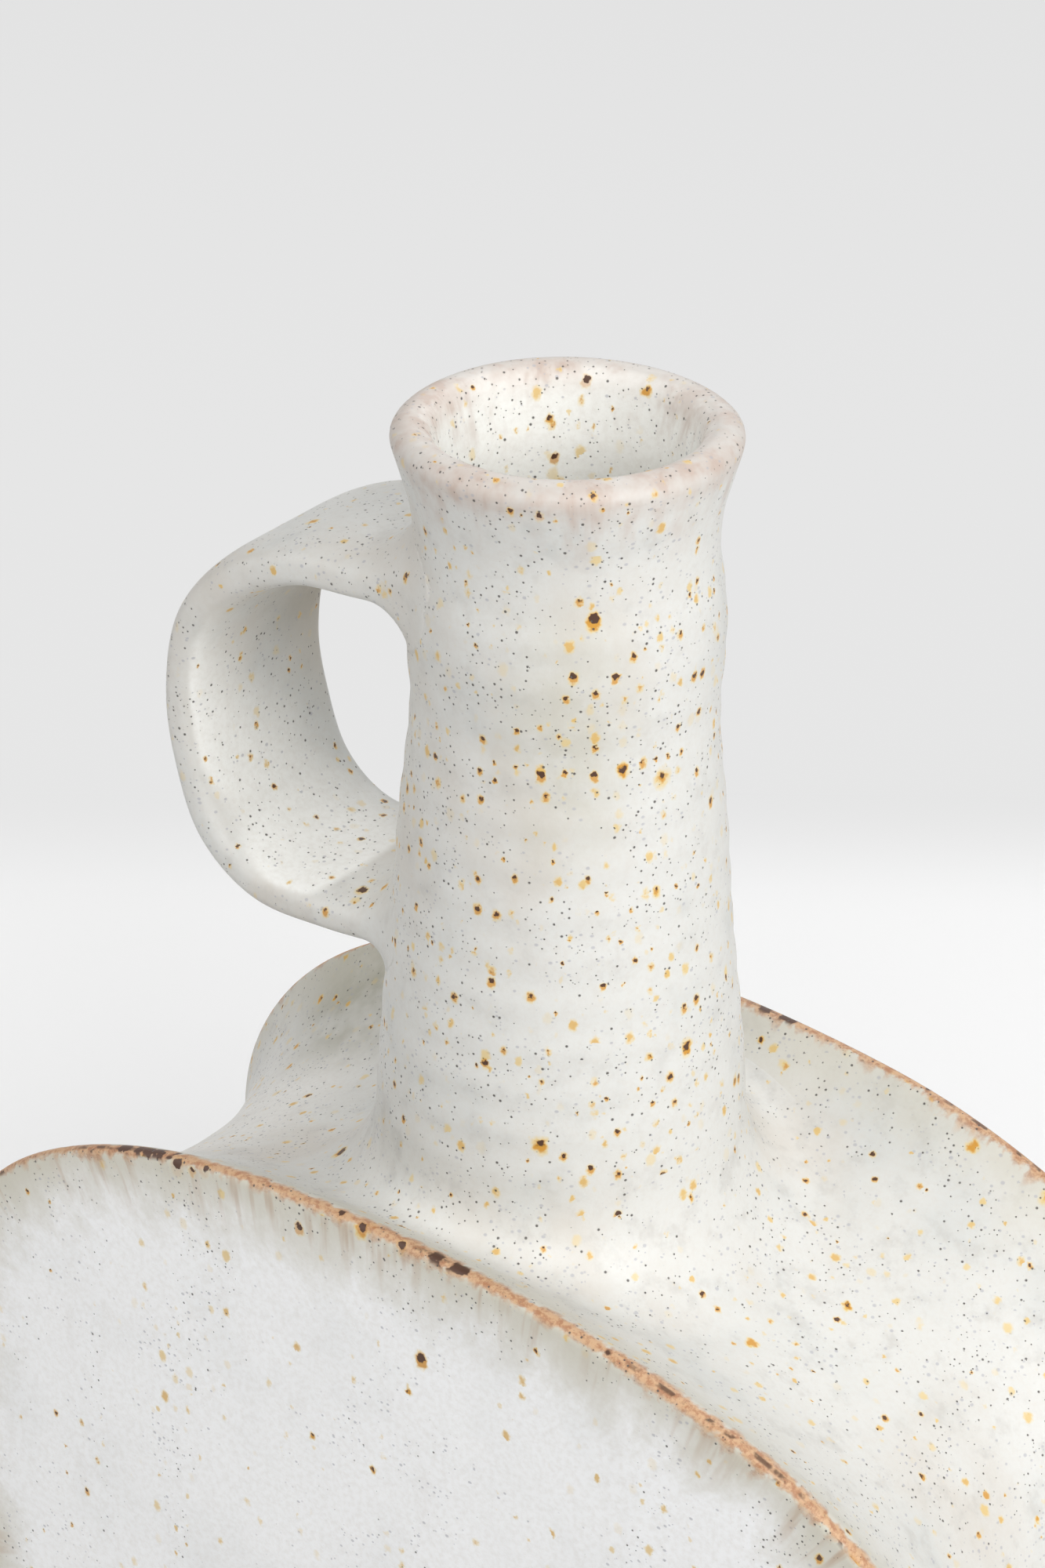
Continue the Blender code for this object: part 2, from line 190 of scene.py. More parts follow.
def skin_object(name, rings, looped=False, poles=None, place=None):
    """Join rings of points into a closed skin, and turn its faces outwards.

    Each ring is joined to the next and closed on itself. The last is joined to the first when
    looped, or else each end is closed to its pole. A negative volume, the sum of a . (b x c) / 6
    over the triangles, means that the skin is inside out, and its faces are then reversed. The
    place by the ridge is kept at the faces' corners, where an exact Boolean leaves it intact.
    """
    rows, count = rings.shape[:2]
    first = np.arange(rows if looped else rows - 1)[:, None] * count
    second = (np.arange(rows if looped else rows - 1)[:, None] + 1) % rows * count
    here = np.arange(count)
    beside = (here + 1) % count
    quads = np.stack([first + here, first + beside, second + beside, second + here], axis=-1)
    quads = quads.reshape(-1, 4)
    points = rings.reshape(-1, 3)
    triangles = np.zeros((0, 3), dtype=int)
    if poles is not None:
        points = np.vstack([points, np.array(poles, dtype=float)])
        start = np.full(count, rows * count)
        end = start + 1
        last = (rows - 1) * count
        triangles = np.vstack([
            np.stack([beside, here, start], axis=1),
            np.stack([last + here, last + beside, end], axis=1),
        ])
    halves = np.vstack([quads[:, [0, 1, 2]], quads[:, [0, 2, 3]], triangles])
    a, b, c = (points[halves[:, i]] for i in range(3))
    if np.sum(a * np.cross(b, c)) < 0.0:
        quads = quads[:, ::-1]
        triangles = triangles[:, ::-1]
    mesh = bpy.data.meshes.new(name)
    mesh.from_pydata(hand_wobble(points).tolist(), [], quads.tolist() + triangles.tolist())
    mesh.shade_smooth()
    if place is not None:
        at_corner = np.zeros(len(mesh.loops), dtype=np.int32)
        mesh.loops.foreach_get("vertex_index", at_corner)
        padded = np.zeros((len(points), 3))
        padded[:rows * count] = place.reshape(-1, 3)
        layer = mesh.attributes.new("ridge_place", "FLOAT_VECTOR", "CORNER")
        layer.data.foreach_set("vector", padded[at_corner].ravel())
    return add_object(name, mesh)


def ridge_place(distance):
    """A place by the ridge: its turn round the body on a circle of the edge's length, and its
    distance from the ridge's crest, above 0 on the face and below 0 in the channel."""
    turn = 2.0 * np.pi * np.arange(around_count) / around_count
    radius = edge_length / (2.0 * np.pi)
    flat = np.stack([radius * np.cos(turn), radius * np.sin(turn)], axis=1)
    flat = np.broadcast_to(flat, (*np.shape(distance), 2))
    return np.concatenate([flat, np.asarray(distance)[..., None]], axis=-1)


def channel_tip(from_face):
    """A ridge's channel side at a distance from the face, and how fast it deepens there."""
    step = 0.0001
    rate = (channel_inset(from_face + step) - channel_inset(from_face - step)) / (2.0 * step)
    return channel_inset(from_face), rate


tip_start = 0.0022
tip_pull = -0.0006
tip_end = ridge_edge + 0.0014
tip_handle = 0.0018
tip_turns = np.linspace(0.0, 1.0, 15)[1:]
face_zone = 0.012
face_shares = np.linspace(0.02, 1.0, 44)[:-1]
zone_insets = np.geomspace(face_zone, tip_start, 14)
under_band = ((0.0008, 0.00004), (0.0016, 0.0003), (0.0022, 0.0015))
inner_step = 0.003
inner_shares = (1.0, 0.8, 0.5, 0.2)


def bezier(t, points):
    """The cubic Bezier curve's place at t, from four points or arrays of them."""
    weights = ((1 - t) ** 3, 3 * t * (1 - t) ** 2, 3 * t ** 2 * (1 - t), t ** 3)
    return sum(weight * point for weight, point in zip(weights, points))


def face_slab(name, side):
    """A slab's skin: its face from the middle to the edge, round the ridge, and its inner face.

    Round the ridge each section is a cubic Bezier curve from the face to the channel.
    """
    rings = []
    distances = []
    for share in face_shares:
        inner = edge_ring(face_zone, 0.0, side, share)
        outer_edge = edge_ring(0.0, 0.0, side)
        gap = np.linalg.norm((inner - outer_edge)[:, [0, 2]], axis=1)
        rings.append(inner)
        distances.append(gap + ridge_middle)
    for inset in zone_insets:
        rings.append(edge_ring(inset, 0.0, side))
        distances.append(np.full(around_count, inset + ridge_middle))
    end_inset, rate = channel_tip(tip_end)
    length = np.sqrt(1.0 + rate ** 2)
    level = np.zeros(around_count)
    curve = np.array([
        (level + tip_start, level),
        (level + tip_pull, level),
        (end_inset - tip_handle * rate / length, tip_end - tip_handle / length),
        (end_inset, level + tip_end),
    ])
    for t in tip_turns:
        inset, from_face = bezier(t, curve)
        rings.append(edge_ring(inset, from_face, side))
        on_face = np.clip(inset, 0.0, None) * (1.0 - smooth_step(from_face / ridge_middle))
        distances.append(ridge_middle - from_face + on_face)
    for further, sink in under_band:
        rings.append(edge_ring(channel_inset(tip_end + further) + sink, tip_end + further, side))
        distances.append(np.full(around_count, ridge_middle - tip_end - further))
    inner_inset = channel_inset(slab_thickness) + inner_step
    for share in inner_shares:
        rings.append(edge_ring(inner_inset, slab_thickness, side, share))
        distances.append(np.full(around_count, -slab_thickness))
    poles = [(0.0, side * depth, body_centre) for depth in (half_depth, half_depth - slab_thickness)]
    return skin_object(name, np.array(rings), poles=poles, place=ridge_place(np.array(distances)))


def add_node(kind, inputs, tree=None, **settings):
    """Add a shader node. Each input is a value, or a socket to link from, whose tree it joins."""
    if tree is None:
        tree = next(v.id_data for v in inputs.values() if isinstance(v, bpy.types.NodeSocket))
    node = tree.nodes.new("ShaderNode" + kind)
    for setting, value in settings.items():
        setattr(node, setting, value)
    for key, value in inputs.items():
        if isinstance(value, bpy.types.NodeSocket):
            tree.links.new(value, node.inputs[key])
        else:
            node.inputs[key].default_value = value
    return node


def calc(operation, a, b=0.0, tree=None):
    return add_node("Math", {0: a, 1: b}, tree, operation=operation).outputs[0]


def times(first, *others):
    """Multiply a socket by sockets or numbers, one after the other."""
    for other in others:
        first = calc("MULTIPLY", first, other)
    return first


def span(across, up):
    """The distance to a place so far across and so far up, the root of a^2 + u^2."""
    return calc("SQRT", calc("ADD", calc("POWER", across, 2.0), calc("POWER", up, 2.0)))


def vector_calc(operation, a, b):
    return add_node("VectorMath", {0: a, 1: b}, operation=operation).outputs[0]


def length_of(vector):
    return add_node("VectorMath", {0: vector}, operation="LENGTH").outputs["Value"]


def split(place):
    """The x, the y and the height of a place."""
    return add_node("SeparateXYZ", {0: place}).outputs


def stretch(place, factor):
    """Multiply a place's height by a factor. Below 1, a pattern on the new place is drawn out."""
    return add_node("Mapping", {"Vector": place, "Scale": (1.0, 1.0, factor)}).outputs[0]


def fade(value, start, end, low=0.0, high=1.0):
    """Go smoothly from low to high while the value goes from start to end."""
    inputs = {0: value, 1: start, 2: end, 3: low, 4: high}
    return add_node("MapRange", inputs, interpolation_type="SMOOTHSTEP").outputs[0]


def between(share, low, high):
    """Go evenly from low to high while the share goes from 0 to 1."""
    return add_node("MapRange", {0: share, 3: low, 4: high}).outputs[0]


def blend(share, first, second):
    """Go from the first colour to the second while the share goes from 0 to 1."""
    return add_node("Mix", {0: share, 6: first, 7: second}, data_type="RGBA").outputs[2]


def lay_on(colour, coats):
    """Lay coats over a colour, one after the other: each is a share and the colour it brings."""
    for share, coat in coats:
        colour = blend(share, colour, coat)
    return colour


def noise(place, size, detail=2.0, rough=0.5):
    """Noise from 0 to 1 whose blotches are about as large as the size, in metres."""
    inputs = {"Vector": place, "Scale": 0.6 / size, "Detail": detail, "Roughness": rough}
    return add_node("TexNoise", inputs).outputs[0]


def link(value, target):
    value.id_data.links.new(value, target)


def new_group(name, vectors, numbers):
    """A node group with inputs of these names, and the sockets that they come from inside it."""
    tree = bpy.data.node_groups.new(name, "ShaderNodeTree")
    for labels, kind in ((vectors, "NodeSocketVector"), (numbers, "NodeSocketFloat")):
        for label in labels:
            tree.interface.new_socket(name=label, in_out="INPUT", socket_type=kind)
    return tree, tree.nodes.new("NodeGroupInput").outputs


def close_group(tree, values):
    """Give the group one output for each value, under the value's name."""
    for label in values:
        tree.interface.new_socket(name=label, in_out="OUTPUT", socket_type="NodeSocketFloat")
    results = tree.nodes.new("NodeGroupOutput").inputs
    for label, value in values.items():
        link(value, results[label])
    return tree


def use_group(group, inputs):
    """Place a node group, and give it its inputs, values or sockets, by name."""
    return add_node("Group", inputs, node_tree=group).outputs


def wrinkled_place(place, size, amount):
    """Push each place about by noise as fine as the size, which makes the edges there ragged."""
    scale = calc("DIVIDE", 0.9, size, place.id_data)
    push = calc("MULTIPLY", size, amount, place.id_data)
    ragged = add_node("TexNoise", {"Vector": place, "Scale": scale, "Detail": 2.0})
    centred = vector_calc("SUBTRACT", ragged.outputs["Color"], (0.5, 0.5, 0.5))
    moved = add_node("VectorMath", {0: centred, "Scale": push}, operation="SCALE").outputs[0]
    return vector_calc("ADD", place, moved)


def spot_cells(place, given):
    """One seed in each cell of space: the offset from it, its tone, its size, and if it is there."""
    scale = calc("DIVIDE", 1.0, given["Spacing"])
    cells = add_node("TexVoronoi", {"Vector": place, "Scale": scale}).outputs
    chance = add_node("SeparateColor", {0: cells["Color"]}).outputs
    size = times(given["Radius"], between(calc("POWER", chance[0], 2.0), 0.38, 1.0))
    present = calc("LESS_THAN", chance[1], given["Share"])
    return vector_calc("SUBTRACT", place, cells["Position"]), chance[2], size, present


def run_halo(offset, size, drop, factor, outer, inner):
    """A soft halo that has run down from its spot by the drop, and is drawn out upwards."""
    lowered = vector_calc("ADD", offset, add_node("CombineXYZ", {"Z": drop}).outputs[0])
    reach = length_of(vector_calc("MULTIPLY", lowered, (1.0, 1.0, factor)))
    return fade(reach, times(size, outer), times(size, inner))


def spot_group():
    """Ragged spots of iron, each with a soft halo that has run a little way down the glaze."""
    tree, given = new_group("iron spots", ["Place"], ["Spacing", "Radius", "Share", "Drip"])
    place = wrinkled_place(given["Place"], given["Radius"], 1.5)
    offset, tone, size, present = spot_cells(place, given)
    core = fade(length_of(offset), size, times(size, 0.72))
    halo = run_halo(offset, size, times(size, given["Drip"], tone), 0.72, 1.85, 0.80)
    return close_group(tree, {
        "Core": times(core, present), "Halo": times(halo, present), "Tone": tone,
    })


def pinhole_group():
    """Pinholes: small round points, one in some of the cells that space is divided into."""
    tree, given = new_group("pinholes", ["Place"], ["Spacing", "Radius", "Share"])
    offset, _, size, present = spot_cells(given["Place"], given)
    hole = fade(length_of(offset), size, times(size, 0.45))
    return close_group(tree, {"Hole": times(hole, present)})


def placed_spot_group():
    """One large spot of iron at a given centre, with a halo that has run down from it."""
    tree, given = new_group("placed spot", ["Place", "Centre"], ["Radius"])
    offset = vector_calc("SUBTRACT", given["Place"], given["Centre"])
    size = given["Radius"]
    core = fade(length_of(offset), size, times(size, 0.78))
    halo = run_halo(offset, size, times(size, 0.55), 0.70, 1.75, 0.90)
    return close_group(tree, {"Core": core, "Halo": halo})


def ridge_group():
    """Where the glaze breaks over the ridge: the tan line, its dark patches, its runs, and the warm
    zone beside it. All of it reaches less far into the channel than over the face."""
    widths = ["Line width", "Zone width", "Run length"]
    tree, given = new_group("ridge break", ["Ridge place"], widths)
    place = given["Ridge place"]
    distance = split(place)[2]
    on_face = fade(distance, -0.0006, 0.0006)
    narrower = fade(distance, -0.001, 0.001, 0.72, 1.0)
    away = calc("DIVIDE", calc("ABSOLUTE", distance), narrower)
    falling = stretch(place, 0.12)
    ragged = calc("ADD", noise(place, 0.0014, 3.0, 0.6), noise(falling, 0.0020))
    slow = noise(place, 0.022, 1.0)
    reach = times(given["Line width"], fade(ragged, 0.65, 1.35, 0.30, 1.55))
    reach = times(reach, fade(slow, 0.35, 0.65, 0.75, 1.2))
    crowd = fade(noise(place, 0.011, 1.0), 0.50, 0.70, 0.0, 0.24)
    level = calc("ADD", noise(place, 0.0018), crowd)
    patches = times(fade(level, 0.675, 0.765), fade(away, 0.0028, 0.0010))
    on_top = times(fade(away, 0.0009, 0.0003), fade(slow, 0.50, 0.56))
    worn = fade(noise(place, 0.0028, 3.0, 0.65), 0.46, 0.58, 0.0, 0.85)
    streaks = fade(noise(falling, 0.0015, 2.0, 0.55), 0.48, 0.70)
    where = fade(noise(falling, 0.010, 1.0), 0.36, 0.58)
    fall = times(fade(away, given["Run length"], 0.0005), on_face)
    uneven = fade(noise(stretch(place, 0.70), 0.0080, 4.0, 0.70), 0.28, 0.72, 0.60, 1.25)
    return close_group(tree, {
        "Line": fade(away, reach, times(reach, 0.22)),
        "Patches": calc("MAXIMUM", patches, times(on_top, worn)),
        "Runs": times(streaks, where, fall),
        "Zone": fade(away, times(given["Zone width"], uneven), -0.002),
        "Crest": fade(away, 0.0030, 0.0012),
        "Face": on_face,
    })


iron_spots = spot_group()
pinholes = pinhole_group()
placed_spot = placed_spot_group()
ridge_break = ridge_group()
face_white = (0.945, 0.948, 0.948, 1.0)
neck_white = (0.698, 0.697, 0.668, 1.0)
cream_white = (0.690, 0.686, 0.655, 1.0)
cool_grey = (0.575, 0.595, 0.580, 1.0)
warm_grey = (0.600, 0.550, 0.485, 1.0)
haze_grey = (0.46, 0.44, 0.41, 1.0)


def mottled_base(place, in_channel, clouds):
    """The glaze's own white, creamier in the channel, with cool and warm clouds and a thin haze."""
    warm = noise(stretch(place, 0.7), 0.022, 4.0, 0.62)
    haze = fade(noise(place, 0.0040, 4.0, 0.70), 0.50, 0.72, 0.0, 0.40)
    return lay_on(blend(in_channel, neck_white, cream_white), [
        (fade(clouds, 0.48, 0.70, 0.0, 0.50), cool_grey),
        (fade(warm, 0.48, 0.72, 0.0, 0.58), warm_grey),
        (times(haze, fade(in_channel, 0.0, 1.0, 0.62, 1.0)), haze_grey),
    ])


dark_patch_grey = (0.39, 0.38, 0.31, 1.0)
painted_light_cream = (0.90, 0.88, 0.84, 1.0)
dark_patch_centre = (-0.079, 0.038, 0.166)


def near_place(place, centre, far, near, high):
    """Rise smoothly from 0 at the far distance from a centre to the high value at the near one."""
    return fade(length_of(vector_calc("SUBTRACT", place, centre)), far, near, 0.0, high)


def channel_tint(place, colour):
    """Paint light on the channel's floor at its left end, and darken it in patches under the back ridge
    there.
    """
    x, y, _ = split(place)
    low_down = fade(calc("ABSOLUTE", y), 0.040, 0.012)
    # Painted light on the channel floor at its left end.
    painted_light = times(fade(x, -0.056, -0.076, 0.0, 0.55), low_down)
    # Greyer patches darken the channel under the back ridge, near its left end.
    darkened = near_place(place, dark_patch_centre, 0.030, 0.006, 0.95)
    patches = fade(noise(place, 0.0070, 3.0, 0.65), 0.32, 0.62, 0.45, 1.0)
    return lay_on(colour, [(painted_light, painted_light_cream), (times(darkened, patches), dark_patch_grey)])


neck_speckle = {"large": 0.28, "small": 0.92, "fleck": 0.95, "hole": 1.0, "smudge": 0.62}
channel_speckle = {"large": 0.12, "small": 0.24, "fleck": 0.60, "hole": 0.60, "smudge": 1.0}
face_speckle = {"large": 0.05, "small": 0.07, "fleck": 0.22, "hole": 0.12, "smudge": 0.40}
celadon_grey = (0.580, 0.550, 0.445, 1.0)


def face_side(place, edge, clouds, colour, share):
    """Make the glaze whiter and its speckle sparser on the face, but warm in the ridge's zone."""
    on_face = edge["Face"]
    veils = fade(noise(stretch(place, 0.30), 0.006, 3.0, 0.6), 0.55, 0.80, 0.0, 0.22)
    face_colour = blend(fade(clouds, 0.45, 0.75, 0.0, 0.16), face_white, cool_grey)
    colour = blend(on_face, colour, blend(veils, face_colour, warm_grey))
    zone = times(edge["Zone"], fade(on_face, 0.0, 1.0, 0.60, 0.95))
    crowded = between(edge["Zone"], face_speckle["hole"], 1.0)
    face_share = {**face_speckle, "hole": crowded}
    share = {kind: between(on_face, share[kind], face_share[kind]) for kind in share}
    share["large"] = calc("ADD", share["large"], times(edge["Crest"], 0.55))
    return blend(zone, colour, celadon_grey), share


iron_brown = (0.065, 0.024, 0.010, 1.0)
amber = (0.76, 0.54, 0.125, 1.0)
burnt_orange = (0.60, 0.29, 0.035, 1.0)
pinhole_grey = (0.080, 0.070, 0.064, 1.0)
slate = (0.40, 0.40, 0.44, 1.0)
tan = (0.60, 0.365, 0.200, 1.0)
rust = (0.40, 0.17, 0.070, 1.0)
run_brown = (0.47, 0.325, 0.215, 1.0)
spot_kinds = {
    "fleck": {"Spacing": 0.0034, "Radius": 0.00072, "Drip": 1.2},
    "small": {"Spacing": 0.0035, "Radius": 0.00065, "Drip": 0.9},
    "large": {"Spacing": 0.0074, "Radius": 0.00130, "Drip": 0.9},
}


def halo_coat(halo, start, strength=1.0):
    """The coat that a spot's halo is, amber at its rim and burnt orange by the spot."""
    return times(halo, strength), blend(fade(halo, start, 1.0), amber, burnt_orange)


def new_material(name):
    """A material, its shader's sockets, and the place on the object that it colours."""
    material = bpy.data.materials.new(name)
    material.use_nodes = True
    nodes = material.node_tree.nodes
    return material, nodes["Principled BSDF"].inputs, nodes.new("ShaderNodeTexCoord").outputs["Object"]


def glaze_material(name, speckle, near_ridge=False, tint=None, placed=()):
    """Satin stoneware glaze: a mottled base and its tint by place, the whiter face, smudges, iron
    spots, the ridge's runs and line, and pinholes, each over the ones before it.

    The speckle is the share of places with a spot of each kind. Low down it becomes the channel's,
    and near the rim it gets sparser. The placed spots are single ones, each given by its centre,
    its radius and its halo's strength.
    """
    material, shader, place = new_material(name)
    height = split(place)[2]
    in_channel = fade(height, ridge_top + 0.022, ridge_top - 0.010)
    by_rim = fade(height, rim_height - 0.030, rim_height - 0.006, 1.0, 0.45)
    share = {kind: fade(in_channel, 0.0, 1.0, speckle[kind], channel_speckle[kind]) for kind in speckle}
    for kind in spot_kinds:
        share[kind] = times(share[kind], by_rim)
    clouds = noise(place, 0.016, 3.0, 0.6)
    colour = mottled_base(place, in_channel, clouds)
    if tint is not None:
        colour = tint(place, colour)
    if near_ridge:
        by_ridge = add_node("Attribute", {}, place.id_data, attribute_name="ridge_place")
        edge = use_group(ridge_break, {
            "Ridge place": by_ridge.outputs["Vector"],
            "Line width": 0.0036,
            "Zone width": 0.0225,
            "Run length": 0.0160,
        })
        colour, share = face_side(place, edge, clouds, colour, share)
    grains = noise(place, 0.0007, 3.0, 0.7)
    patches = fade(noise(place, 0.0055, 3.0, 0.6), 0.42, 0.60)
    smudges = use_group(pinholes, {
        "Place": stretch(place, 1.3),
        "Spacing": 0.0013,
        "Radius": 0.00056,
        "Share": times(patches, share["smudge"]),
    })
    fleck, small, large = (
        use_group(iron_spots, {"Place": place, "Share": share[kind], **sizes})
        for kind, sizes in spot_kinds.items()
    )
    faint = times(fleck["Halo"], fade(fleck["Tone"], 0.1, 0.9, 0.15, 0.85))
    hot = times(fade(fleck["Halo"], 0.45, 1.0), fade(fleck["Tone"], 0.5, 0.95, 0.0, 0.6))
    coats = [
        (fade(grains, 0.35, 0.75, 0.0, 0.22), warm_grey),
        (times(smudges["Hole"], 0.62), slate),
        (faint, blend(hot, amber, burnt_orange)),
        halo_coat(small["Halo"], 0.50, 0.92),
        (small["Core"], iron_brown),
        halo_coat(large["Halo"], 0.55),
    ]
    if near_ridge:
        coats += [
            (times(edge["Runs"], 0.80), run_brown),
            (times(edge["Line"], 0.92), blend(fade(grains, 0.40, 0.65), tan, rust)),
            (edge["Patches"], iron_brown),
        ]
    coats.append((large["Core"], iron_brown))
    ragged_place = wrinkled_place(place, 0.0010, 1.5) if placed else place
    for centre, radius, strength in placed:
        spot = use_group(placed_spot, {"Place": ragged_place, "Centre": centre, "Radius": radius})
        coats += [halo_coat(spot["Halo"], 0.5, strength), (spot["Core"], iron_brown)]
    crowd = fade(noise(place, 0.0090, 3.0, 0.65), 0.38, 0.60, 0.06, 1.5)
    hole = use_group(pinholes, {
        "Place": place,
        "Spacing": 0.00108,
        "Radius": 0.00035,
        "Share": times(crowd, share["hole"]),
    })["Hole"]
    coats.append((times(hole, 0.92), pinhole_grey))
    link(lay_on(colour, coats), shader["Base Color"])
    link(fade(noise(place, 0.006, 3.0, 0.6), 0.25, 0.75, 0.42, 0.58), shader["Roughness"])
    peel = times(noise(place, 0.0011, 3.0, 0.6), 0.35)
    pits = calc("SUBTRACT", peel, times(hole, 0.8))
    waves = calc("ADD", pits, times(noise(place, 0.0045), 0.9))
    bump = add_node("Bump", {"Height": waves, "Distance": 0.00025, "Strength": 0.6})
    link(bump.outputs[0], shader["Normal"])
    return material


face_spots = [
    ((-0.0660, -0.0489, 0.1803), 0.0010, 0.0),
    ((-0.0630, -0.0489, 0.1813), 0.0012, 0.0),
    ((-0.0600, -0.0491, 0.1821), 0.0011, 0.0),
    ((-0.0572, -0.0492, 0.1829), 0.0011, 0.0),
    ((-0.0524, -0.0502, 0.1835), 0.0012, 0.2),
    ((-0.0486, -0.0505, 0.1838), 0.0006, 0.5),
    ((-0.0455, -0.0501, 0.1853), 0.0008, 0.2),
    ((-0.0228, -0.0512, 0.1830), 0.0008, 0.7),
    ((-0.0139, -0.0500, 0.1892), 0.0008, 0.1),
    ((-0.0084, -0.0509, 0.1890), 0.0008, 0.2),
    ((0.0003, -0.0508, 0.1890), 0.0008, 0.3),
    ((0.0048, -0.0515, 0.1671), 0.0010, 0.95),
]
face_glaze = glaze_material(
    "face_glaze", neck_speckle, near_ridge=True, tint=channel_tint, placed=face_spots,
)
for node_name, side in (("front_slab", -1.0), ("back_slab", 1.0)):
    slab = face_slab(node_name + "_skin", side)
    slab.data.materials.append(face_glaze)
    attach(slab, "root")
    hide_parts(node_name)

# The channel band. A long strip of clay is bent round between the slabs and pressed hollow with
# the fingers, so that both slabs' edges stand proud as ridges. Its glaze is thicker and warmer,
# with grey-blue smudges. A round hole in it opens into the neck.
neck_low, neck_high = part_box("neck")
neck_middle = (neck_low.x + neck_high.x) / 2.0
channel_floor = ridge_top - channel_depth
band_wall = 0.0065
bore_radius = 0.0295
bore_sides = 96
across_rows = 40
inner_rows = 13
first_step_share = 0.25
under_steps = [(0.0012, 0.0009), (0.0010, 0.00030), (0.0005, 0.00006)]


def band_ring(across, inset, start):
    """A ring across the band: across is -1 at the front ridge's channel side and 1 at the back."""
    outer = face_distance(edge[:, 0])
    from_face = outer - abs(across) * (outer - start)
    flat = edge - edge_out * (channel_inset(from_face) + inset)[:, None]
    y = across * (face_distance(flat[:, 0]) - start)
    return np.stack([flat[:, 0], y, flat[:, 1]], axis=1)


def channel_band(name):
    """The band's skin: rows close together by the ridges, and a plainer inner wall.

    Its first and last rows dip under the slabs' skins, so that no edge shows where they meet.
    """
    steps = np.linspace(0.0, 1.0, across_rows + 1)
    inwards = 1.0 - (first_step_share * steps + (1.0 - first_step_share) * steps ** 2)
    across = np.concatenate([-inwards, inwards[-2::-1]])
    outer = [band_ring(a, 0.0, tip_end) for a in across]
    under_front = [band_ring(-1.0, sink, tip_end - back) for back, sink in under_steps]
    under_back = [band_ring(1.0, sink, tip_end - back) for back, sink in reversed(under_steps)]
    inner = [band_ring(a, band_wall, slab_thickness) for a in np.linspace(1.0, -1.0, inner_rows)]
    rings = np.array(under_front + outer + under_back + inner)
    distance = np.abs(rings[:, :, 1]) - face_distance(rings[:, :, 0]) + ridge_middle
    return skin_object(name, rings, looped=True, place=ridge_place(distance))


def open_bore(piece):
    """Cut the round hole under the neck with an exact Boolean, and keep the mesh that it gives."""
    height = 2.0 * (channel_depth + band_wall)
    bpy.ops.mesh.primitive_cylinder_add(
        vertices=bore_sides, radius=bore_radius, depth=height, location=(neck_middle, 0.0, channel_floor),
    )
    cutter = bpy.context.active_object
    boolean = piece.modifiers.new("bore", "BOOLEAN")
    boolean.operation = "DIFFERENCE"
    boolean.solver = "EXACT"
    boolean.object = cutter
    evaluated = piece.evaluated_get(bpy.context.evaluated_depsgraph_get())
    opened = bpy.data.meshes.new_from_object(evaluated)
    piece.modifiers.clear()
    piece.data = opened
    bpy.data.objects.remove(cutter)


channel_glaze = glaze_material("channel_glaze", neck_speckle, near_ridge=True, tint=channel_tint)
band = channel_band("channel_band_skin")
open_bore(band)
band.data.materials.clear()
band.data.materials.append(channel_glaze)
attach(band, "root")
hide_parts("channel_band", "front_seam_coil", "back_seam_coil")

# The neck. It is thrown on the wheel as a tube with a flared lip, and joined to the band when
# leather-hard. Shallow throwing rings run round it, and the glaze on its lip is thin and pink.
neck_stations = [
    (0.0300, 0.0030), (0.0281, 0.0094), (0.02685, 0.0138), (0.02625, 0.0195), (0.0264, 0.0240),
    (0.0271, 0.0295), (0.0274, 0.0345), (0.0273, 0.0410), (0.0269, 0.0475), (0.0268, 0.0520),
    (0.0272, 0.0580), (0.0284, 0.0715), (0.0298, 0.0872), (0.0312, 0.1007), (0.0324, 0.1140),
    (0.0332, 0.1240), (0.0338, 0.1340), (0.0346, 0.1450), (0.0355, 0.1540), (0.0365, 0.1640),
]
neck_wall = 0.006
neck_base = channel_floor - 0.003
lip_wall = 0.0074
lip_wall_run = 0.018
lip_crest_in = 0.0038
lip_inner_drop = 0.0034
lip_smoothing = 0.0008
rim_rise = 0.0006
rim_tilt = 0.0011
rim_tilt_bearing = math.radians(-52.7)
rim_tilt_start = 0.002
rim_tilt_run = 0.018
neck_rows = 384
neck_around = 256
throwing_height = 0.00010
throwing_step = 0.0085
throwing_waver = 0.0008
throwing_start, throwing_start_run = 0.012, 0.02
throwing_end, throwing_end_run = 0.150, 0.03
oval_height = 0.00018
oval_turn = 0.9
lobe_height = 0.0001
oval_run = 0.01


def smooth_line(points, steps):
    """A smooth curve through the points: on each span p(t) is the Catmull-Rom cubic."""
    points = np.array(points, dtype=float)
    padded = np.vstack([2.0 * points[0] - points[1], points, 2.0 * points[-1] - points[-2]])
    t = (np.arange(steps) / steps)[:, None, None]
    a, b, c, d = padded[:-3], padded[1:-2], padded[2:-1], padded[3:]
    bend = 2.0 * a - 5.0 * b + 4.0 * c - d
    twist = 3.0 * b - a - 3.0 * c + d
    spans = 0.5 * (2.0 * b + (c - a) * t + bend * t ** 2 + twist * t ** 3)
    return np.vstack([spans.transpose(1, 0, 2).reshape(-1, points.shape[1]), points[-1:]])


